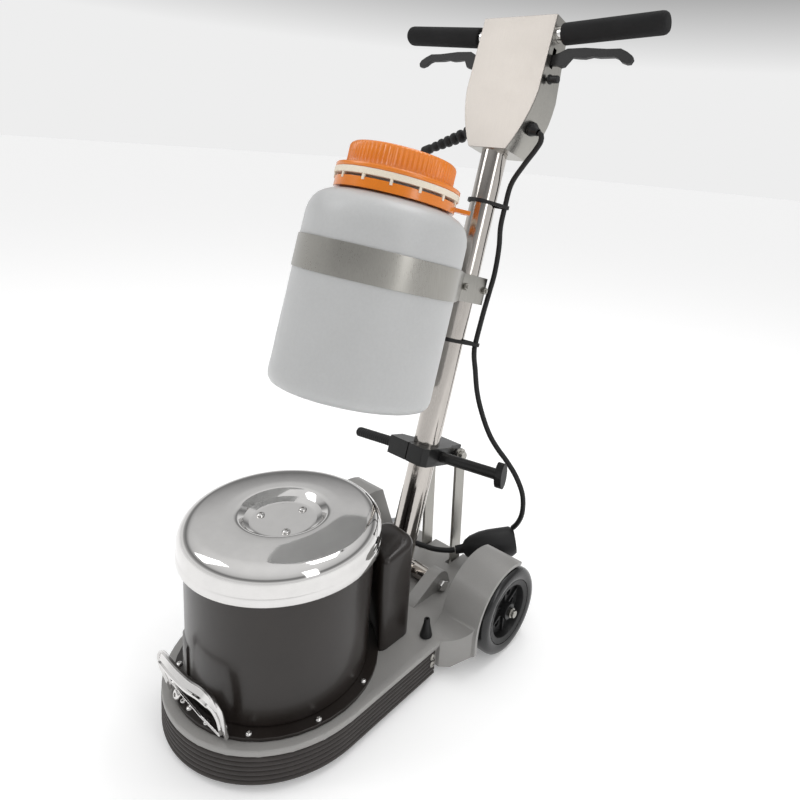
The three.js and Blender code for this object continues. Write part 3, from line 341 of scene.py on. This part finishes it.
def deck_sweep(name, section, stops, arc_steps, mat, nodes=()):
    """A section of [radius, height] swept along the deck's left side, round its front and along its right."""
    stations = [(-1, y, None) for y in stops]
    stations += [(None, None, math.pi + math.pi * i / arc_steps) for i in range(arc_steps + 1)]
    stations += [(1, y, None) for y in reversed(stops)]
    rings = []
    for side, y, a in stations:
        ring = []
        for r, z in section:
            if y is None:
                p = (r * math.cos(a), r * math.sin(a), z)
            else:
                p = (side * (r - DECK_TAPER * y / DECK_SIDE), y, z)
            ring.append(BASE @ (Vector(p) / 1000))
        rings.append(ring)
    return piece(name, skin(rings), mat, "deck", nodes, sharp=50)


def bumper():
    """A strip with moulded bands."""
    face, bands, low, high = 143, 6, 9.2, 49.3
    section = []
    for b in range(bands):
        z0 = low + (high - low) * b / bands
        z1 = low + (high - low) * (b + 1) / bands
        for share, bulge in ((0.06, 6.0), (0.18, 7.3), (0.5, 7.7), (0.82, 7.3), (0.94, 6.0)):
            section.append((face + bulge, z0 + (z1 - z0) * share))
    section = [(face + 0.3, low), (face + 5.2, low)] + section + [(face + 5.2, high), (face + 0.3, high)]
    deck_sweep("bumper_detail", section, (166, 130, 90, 45), 72, "bumper_rubber", ("bumper",))


bumper()
# the smooth machined edge of the deck between the motor flange and the bumper
rim = [(138.2, 57), (138.2, 58.3), (148.4, 58.3), (149.7, 57.9), (150.2, 56.8), (150.2, 50.9), (149.6, 50.2),
       (148, 50.1), (148, 57)]
deck_sweep("deck_rim", rim, (175, 120, 60), 96, "deck_paint")


def screw(name, centre, axis, radius, height, body, mat="chrome"):
    """A domed head with a socket, sized in millimetres, on a face at a row-frame centre in metres."""
    z = Vector(axis).normalized()
    group = Matrix.Translation(centre) @ z.to_track_quat("Z", "Y").to_matrix().to_4x4()
    r, h = radius, height
    dent = 0.35    # the socket's floor, as a share of the head's height
    profile = [(r, 0), (r, h * 0.25), (r * 0.93, h * 0.6), (r * 0.75, h * 0.86), (r * 0.5, h), (r * 0.34, h),
               (r * 0.3, h * dent), (0, h * dent)]
    return lathe(name, profile, group, mat, body, around=24, sharp=40)


for i, degrees in enumerate((-158, -128, -92, -52, -15, 20, 90, 160)):
    a = math.radians(degrees)
    spot = BASE @ Vector((0.1305 * math.cos(a), 0.1305 * math.sin(a), 0.063))
    screw(f"flange_screw_{i + 1}", spot, (0, 0, 1), 4.2, 3, "deck")
for i, z in enumerate((0.030, 0.042)):
    for side in (1, -1):
        spot = BASE @ Vector((side * 0.1485, 0.160, z))
        screw(f"bumper_screw_{i + 1}_{'r' if side > 0 else 'l'}", spot, (side, 0, 0), 5, 2.4, "deck", "steel")

# ---- motor -------------------------------------------------------------------------------
refined("motor_flange", "motor_paint", "deck", 0.0008)
housing = [(115, 63.4), (120, 63.4), (121, 64.5), (122, 120), (124, 230), (124, 232), (0, 232)]
lathe("motor_housing_detail", housing, BASE, "motor_paint", "deck", ("motor_housing",), around=144, sharp=30)


def motor_pad():
    """The raised flat panel low on the front of the housing."""
    rings = []
    for z, half, out in ((64, 19.0, 3.0), (100, 18.5, 3.0), (128, 17.5, 3.0), (133, 16.0, 0.6)):
        ring = []
        for r in (118, 121.4 + out):
            angles = [math.radians(-112) + (i / 12 * 2 - 1) * half / 121 for i in range(13)]
            for a in (angles if r > 118 else angles[::-1]):
                ring.append(BASE @ (Vector((r * math.cos(a), r * math.sin(a), z)) / 1000))
        rings.append(ring)
    piece("motor_pad", skin(rings), "motor_paint", "deck", sharp=30, bevel=0.0006)


motor_pad()
shoulder_angles = [math.radians(a) for a in range(0, 91, 9)]
shoulder = [(110 + 22 * math.cos(a), 261.5 + 22 * math.sin(a)) for a in shoulder_angles]
cap_skirt = [(131.2, 238), (132.6, 238.4), (133, 239.6), (133, 248), (132.4, 249.4), (132, 251), (132, 256)]
cap_top = [(100, 284.2), (80, 284.8), (64, 285), (60.5, 284.6), (57.5, 283), (50, 275.5), (47.5, 273),
           (44.5, 272.1), (40, 272), (0, 272)]
cap_outer = cap_skirt + shoulder + cap_top
cap_inner = [(0, 269.5), (40, 269.5), (58, 281), (64, 282.4), (100, 281.8), (110, 281), (124, 275),
             (129.4, 262), (129.6, 238)]
lathe("motor_cap_detail", cap_outer + cap_inner, BASE, "chrome", "deck", ("motor_cap",), around=160, sharp=60,
      closed=True)
for i, degrees in enumerate((90, 210, 330)):
    a = math.radians(degrees)
    spot = BASE @ Vector((0.032 * math.cos(a), 0.032 * math.sin(a), 0.272))
    screw(f"cap_screw_{i + 1}", spot, (0, 0, 1), 5.5, 3.4, "deck")
for node, mat, bevel in (("solution_inlet", "black_plastic", 0.0012), ("pivot_bolt", "chrome", 0.0012),
                         ("strut_foot_pin", "steel", 0.0012), ("lead_connector", "black_rubber", 0.0)):
    refined(node, mat, "deck", bevel, 4)


def strap_line(points, section, outward):
    """A shaped strip bent along a line; the section's second axis looks outward."""
    rings = []
    for i, p in enumerate(points):
        ahead = (points[min(i + 1, len(points) - 1)] - points[max(i - 1, 0)]).normalized()
        out = (outward - ahead * outward.dot(ahead)).normalized()
        across = ahead.cross(out)
        rings.append([p + across * (v / 1000) + out * (u / 1000) for v, u in section])
    return skin(rings)


def front_handle():
    """A chromed channel bent into a handle, on a bracket plate that is screwed to the flange."""
    line = smooth(mm(BASE, [
        (-46, -129, 64), (-50, -134, 85), (-55, -139, 106), (-53, -142, 117), (-42, -144, 121),
        (-11, -146, 122), (20, -145, 122), (40, -141, 121), (52, -137, 114), (59, -130, 95),
        (62, -124, 64)]), 0.003)
    channel = [(-7, -2.2), (7, -2.2), (7.6, 0), (7, 2.6), (5, 3), (3.4, 0.9), (-3.4, 0.9), (-5, 3), (-7, 2.6),
               (-7.6, 0)]
    piece("front_handle_detail", strap_line(line, channel, Vector((0, -0.85, 0.5))), "chrome", "deck",
          ("front_handle",), sharp=40)
    foot = ((-52, -128, 63.5), (-40, -134, 84), (34, -137, 84), (58, -126, 63.5))
    plate = [mm(BASE, [(x, y - d, z - 0.4 * d) for x, y, z in foot]) for d in (0, 2.5)]
    piece("front_bracket", skin(plate), "chrome", "deck", bevel=0.0006)
    spot = BASE @ Vector((-0.026, -0.1345, 0.0735))
    screw("front_bracket_screw", spot, (-0.03, -0.95, 0.3), 7, 4, "deck")
    for i, x in enumerate((-20, 30)):
        y = -math.sqrt(131 ** 2 - x ** 2)
        screw(f"foot_screw_{i + 1}", BASE @ Vector((x / 1000, y / 1000, 0.0635)), (0, 0, 1), 4.5, 3, "deck")


front_handle()


def capacitor_cover():
    """A moulded cover with round corners and a crowned top that falls away from the motor."""
    cx, cy, w, d, r = 68, 132.5, 32.5, 33.0, 19.0
    outline = []
    for sx, sy, start in ((1, 1, 0), (-1, 1, 90), (-1, -1, 180), (1, -1, 270)):
        rr = r if sy > 0 else 11.0
        for i in range(9):
            a = math.radians(start + i * 90 / 8)
            outline.append((sx * (w - rr) + rr * math.cos(a), sy * (d - rr) + rr * math.sin(a)))
    rings = []
    for inset, z in ((0, 58.5), (0, 140), (0, 205), (0.5, 209), (2, 212), (4.5, 214.5), (8, 216),
                     (14, 216.8)):
        k = 1 - inset / 33
        ring = []
        for x, y in outline:
            drop = 0 if z < 100 else (z - 58) / 158 * (0.1 * (x + 32) - 0.14 * (y - 33) - 4.5)
            px, py = cx + x * k, cy + y * k
            reach = math.hypot(px, py)
            need = 138.2 if z < 63.4 else 125.2
            if reach < need:
                px, py = px * need / reach, py * need / reach
            ring.append(BASE @ (Vector((px, py, z - drop)) / 1000))
        rings.append(ring)
    piece("capacitor_cover", skin(rings), "motor_paint", "deck", ("capacitor_box",), sharp=60)


capacitor_cover()

# ---- wheels ------------------------------------------------------------------------------
for name, side, body in (("right", 1, "wheel_r"), ("left", -1, "wheel_l")):
    hub = BASE @ Matrix.Translation((side * 0.177, 0.29, 0.069)) @ Matrix.Rotation(side * math.pi / 2, 4, "Y")
    half = [(51.4, -18), (54, -19.2), (60, -19.8), (64.5, -18.4), (67.8, -15), (69, -11)]
    tread = half + [(r, -z) for r, z in reversed(half)]
    lathe(f"tyre_{name}_detail", tread, hub, "tyre", body, (f"tyre_{name}",), 128, sharp=50, closed=True)
    refined(f"wheel_rim_{name}", "black_plastic", body, 0.0008)
    spokes = bmesh.new()
    for i in range(6):
        bar = bmesh.ops.create_cube(spokes, size=1)["verts"]
        place = hub @ Matrix.Rotation(i * math.pi / 3, 4, "Z") @ Matrix.Translation((0.0265, 0, 0.0058))
        bmesh.ops.transform(spokes, matrix=place @ Matrix.Diagonal((0.031, 0.003, 0.0042, 1)), verts=bar)
    piece(f"wheel_spokes_{name}", spokes, "black_plastic", body, bevel=0.0005)
    refined(f"axle_{name}", "steel", "deck", 0.0006)

# ---- pole, clamp and struts --------------------------------------------------------------
pole_wall = [(20, 14), (22.05, 14), (22.05, 724), (20, 724)]
lathe("pole_tube", pole_wall, COLUMN, "pole_steel", "handle", closed=True)
refined("pole", "pole_steel", "handle", 0.0006)
refined("clamp_block", "black_paint", "clamp", 0.0016, 3)
refined("clamp_lever", "black_paint", "clamp_handle", 0.0016, 3)
for side in ("right", "left"):
    refined(f"strut_{side}", "steel", f"strut_{side[0]}", 0.0006)


def peg():
    """The clamp's foot peg, with a slanting rib wound round it."""
    rings = []
    for k in range(121):
        x = -165 + k
        end = min(1.0, math.sqrt(max(0.0, 1 - ((k - 5) / 5) ** 2)) if k < 5 else 1.0)
        ring = []
        for i in range(32):
            a = 2 * math.pi * i / 32
            rib = 0.55 * math.sin(2 * math.pi * x / 5.0 + 2 * a) if 4 < k < 116 else 0
            r = max(0.3, end * (8.3 + rib))
            ring.append(PEG @ (Vector((x, r * math.cos(a), r * math.sin(a))) / 1000))
        rings.append(ring)
    piece("clamp_peg_detail", skin(rings), "black_rubber", "clamp", ("clamp_peg",), sharp=60)


peg()

# ---- bottle ------------------------------------------------------------------------------
foot = [(0, 306), (100, 306), (106, 306.6), (111.5, 309), (115, 314), (116.4, 321), (116.5, 330)]
fluted_wall = [(116.5, 330 + 7 * k) for k in range(1, 20)]
shoulder_and_neck = [(116.5, 470), (116.5, 535), (116.2, 548), (114.6, 558), (111, 567.5), (105.5, 575),
                     (98, 580.6), (90, 584.4), (80, 587.4), (75, 589), (74, 592), (74, 639)]
inside = [(72.6, 640), (71, 639), (71, 590), (80, 584), (96, 578), (108, 566), (113.4, 548), (113.5, 322),
          (106, 309.4), (0, 309.4)]


def flutes(a, z, k):
    """Grip flutes pressed into the lower left of the bottle."""
    if not 325 < z < 465:
        return 0
    across, along = (a + 2.25 + math.pi) % (2 * math.pi) - math.pi, (z - 385) / 45
    patch = math.exp(-(across / 0.34) ** 4 - along ** 4)
    return -1.3 * patch * (0.5 + 0.5 * math.sin(26 * across + z * 0.06))


lathe("bottle_detail", foot + fluted_wall + shoulder_and_neck + inside, BOTTLE, "bottle_plastic", "handle",
      ("bottle",), around=128, wave=flutes, sharp=50)
refined("bottle_collar", "orange_plastic", "handle", 0.0008)
refined("lid_seal", "seal_rubber", "seal", 0.0006)
tabs = bmesh.new()
for i in range(14):
    tab = bmesh.ops.create_cube(tabs, size=1)["verts"]
    place = BOTTLE @ Matrix.Rotation(2 * math.pi * i / 14, 4, "Z") @ Matrix.Translation((0.0875, 0, 0.6035))
    bmesh.ops.transform(tabs, matrix=place @ Matrix.Diagonal((0.0035, 0.004, 0.009, 1)), verts=tab)
piece("seal_tabs", tabs, "seal_rubber", "seal", bevel=0.0006)
lid_profile = [(75.6, 616), (89, 616), (90, 617), (90, 621), (89, 622.2), (79, 623), (77, 625), (76.8, 630),
               (76.8, 640), (76.8, 650), (76, 653), (73.6, 655), (70, 655.5), (66, 655.5), (64, 654.2),
               (0, 654.2), (0, 652.5), (70, 652.5), (75, 648), (75.6, 640)]


def ribs(a, z, k):
    """72 grip ribs, on the profile points 6 to 9 of the lid's upright wall."""
    return 0.7 * math.cos(72 * a) if 6 <= k <= 9 else 0


lathe("bottle_lid_detail", lid_profile, BOTTLE, "orange_plastic", "lid", ("bottle_lid",), around=576,
      wave=ribs, sharp=50, closed=True)
refined("bottle_strap", "steel", "handle", 0.0003)
for node in ("strap_bolt_front", "strap_bolt_rear"):
    refined(node, "steel", "handle", 0.0004)

# ---- handlebar and control head ----------------------------------------------------------
refined("handlebar", "chrome", "handle", 0.0)
GRIP = [(12.8, 84), (16, 84), (17.1, 84.8), (17.5, 86.5), (17.5, 247), (16.8, 251.5), (14.5, 254.8),
        (11, 256), (0, 256), (0, 252.6), (12.8, 252.6)]
for name, side in (("right", 1), ("left", -1)):
    droop = Matrix.Rotation(side * math.radians(-3.6), 4, "Y")
    lift = Matrix.Translation((side * 0.072, -0.002, 0.9254)) @ droop
    outward = Matrix.Rotation(side * math.pi / 2, 4, "Y")
    bar = COLUMN @ lift @ Matrix.Translation((side * -0.072, 0, 0)) @ outward
    lathe(f"grip_{name}_detail", GRIP, bar, "foam_rubber", "handle", (f"grip_{name}",), around=64, sharp=60,
          closed=True)
refined("head_plate", "brushed_plate", "handle", 0.0005)
refined("head_box", "steel", "handle", 0.001)
for side in ("right", "left"):
    refined(f"lever_{side}", "black_plastic", f"lever_{side[0]}", 0.0016, 3, sharp=30)
refined("lock_button", "black_plastic", "button", 0.0008)
for node in ("lead_gland", "cable_tie_upper", "cable_tie_lower"):
    refined(node, "black_plastic", "handle", 0.0004)
relief_axis = (HEAD @ Matrix.Scale(-1, 4, (1, 0, 0)) @ Matrix.Translation((0.0554, 0.0252, 0.034))
               @ Matrix.Rotation(math.pi / 2 + math.radians(23), 4, "Y"))
relief = [(0, 0.5), (12.6, 0.5), (13, 1.2), (13, 8), (12.2, 13), (9.5, 15.5), (7, 17)]
for i in range(5):
    top = 11.5 - 0.7 * i
    relief += [(6.6, 19.5 + 14 * i), (top - 0.8, 22.5 + 14 * i), (top, 24.5 + 14 * i), (top, 28 + 14 * i),
               (top - 0.8, 30 + 14 * i)]
relief += [(6.6, 91), (8, 93.5), (8.5, 95), (8.5, 108), (7.6, 111), (4.6, 111), (4.4, 104), (0, 104)]
lathe("strain_relief_detail", relief, relief_axis, "black_rubber", "handle", ("strain_relief",), around=48,
      sharp=40)

# ---- the rest of the CAD nodes keep their shape --------------------------------------------
KEPT = {"stator": "winding", "rotor": "steel", "shaft_bearing": "steel", "ring_gear": "steel",
        "output_carrier": "steel", "planet_gear_1": "steel", "planet_gear_2": "steel",
        "planet_gear_3": "steel", "capacitor": "black_plastic", "brush_block": "black_plastic",
        "brush_bristles": "bristle", "control_switch": "black_plastic"}
for node, mat in KEPT.items():
    NODES[node].data.materials.clear()
    NODES[node].data.materials.append(M[mat])

# ---- floor and light -----------------------------------------------------------------------
bm = bmesh.new()
bmesh.ops.create_grid(bm, x_segments=1, y_segments=1, size=30)
mesh = bpy.data.meshes.new("floor")
bm.to_mesh(mesh)
bm.free()
floor = bpy.data.objects.new("floor", mesh)
bpy.context.scene.collection.objects.link(floor)
floor.location.z = -0.0005
pale = bpy.data.materials.new("floor")
pale.use_nodes = True
pale.node_tree.nodes["Principled BSDF"].inputs["Base Color"].default_value = (0.93, 0.93, 0.93, 1)
pale.node_tree.nodes["Principled BSDF"].inputs["Roughness"].default_value = 0.9
pale.node_tree.nodes["Principled BSDF"].inputs["Emission Color"].default_value = (1, 1, 1, 1)
pale.node_tree.nodes["Principled BSDF"].inputs["Emission Strength"].default_value = 0.2
mesh.materials.append(pale)


def softbox(name, where, at, size, power):
    data = bpy.data.lights.new(name, "AREA")
    data.shape = "RECTANGLE"
    data.size, data.size_y = size
    data.energy = power
    o = bpy.data.objects.new(name, data)
    bpy.context.scene.collection.objects.link(o)
    o.location = where
    o.rotation_euler = (Vector(at) - Vector(where)).to_track_quat("-Z", "Y").to_euler()


softbox("key", (-1.5, -1.5, 2.2), (0, 0, 0.4), (0.9, 1.4), 13)
softbox("fill", (2.3, -0.4, 1.5), (0, 0, 0.4), (0.6, 1.6), 9)
softbox("top", (0.2, 0.8, 2.6), (0, 0, 0.3), (1.5, 0.8), 16)
world = bpy.data.worlds.new("world")
bpy.context.scene.world = world
world.use_nodes = True
sky = world.node_tree
place = sky.nodes.new("ShaderNodeTexCoord")
parts = sky.nodes.new("ShaderNodeSeparateXYZ")
sky.links.new(place.outputs["Generated"], parts.inputs["Vector"])
height = sky.nodes.new("ShaderNodeValToRGB")
sky.links.new(parts.outputs["Z"], height.inputs["Fac"])
height.color_ramp.elements[0].position = 0.14
height.color_ramp.elements[0].color = (0.9, 0.9, 0.9, 1)
height.color_ramp.elements[1].position = 0.24
height.color_ramp.elements[1].color = (0.4, 0.4, 0.4, 1)
for position, grey in ((0.36, 0.22), (0.5, 0.7), (0.75, 0.9), (1.0, 1.0)):
    height.color_ramp.elements.new(position).color = (grey, grey, grey, 1)
sky.links.new(height.outputs["Color"], sky.nodes["Background"].inputs["Color"])
sky.nodes["Background"].inputs["Strength"].default_value = 0.95
bpy.context.scene.view_settings.view_transform = "Standard"
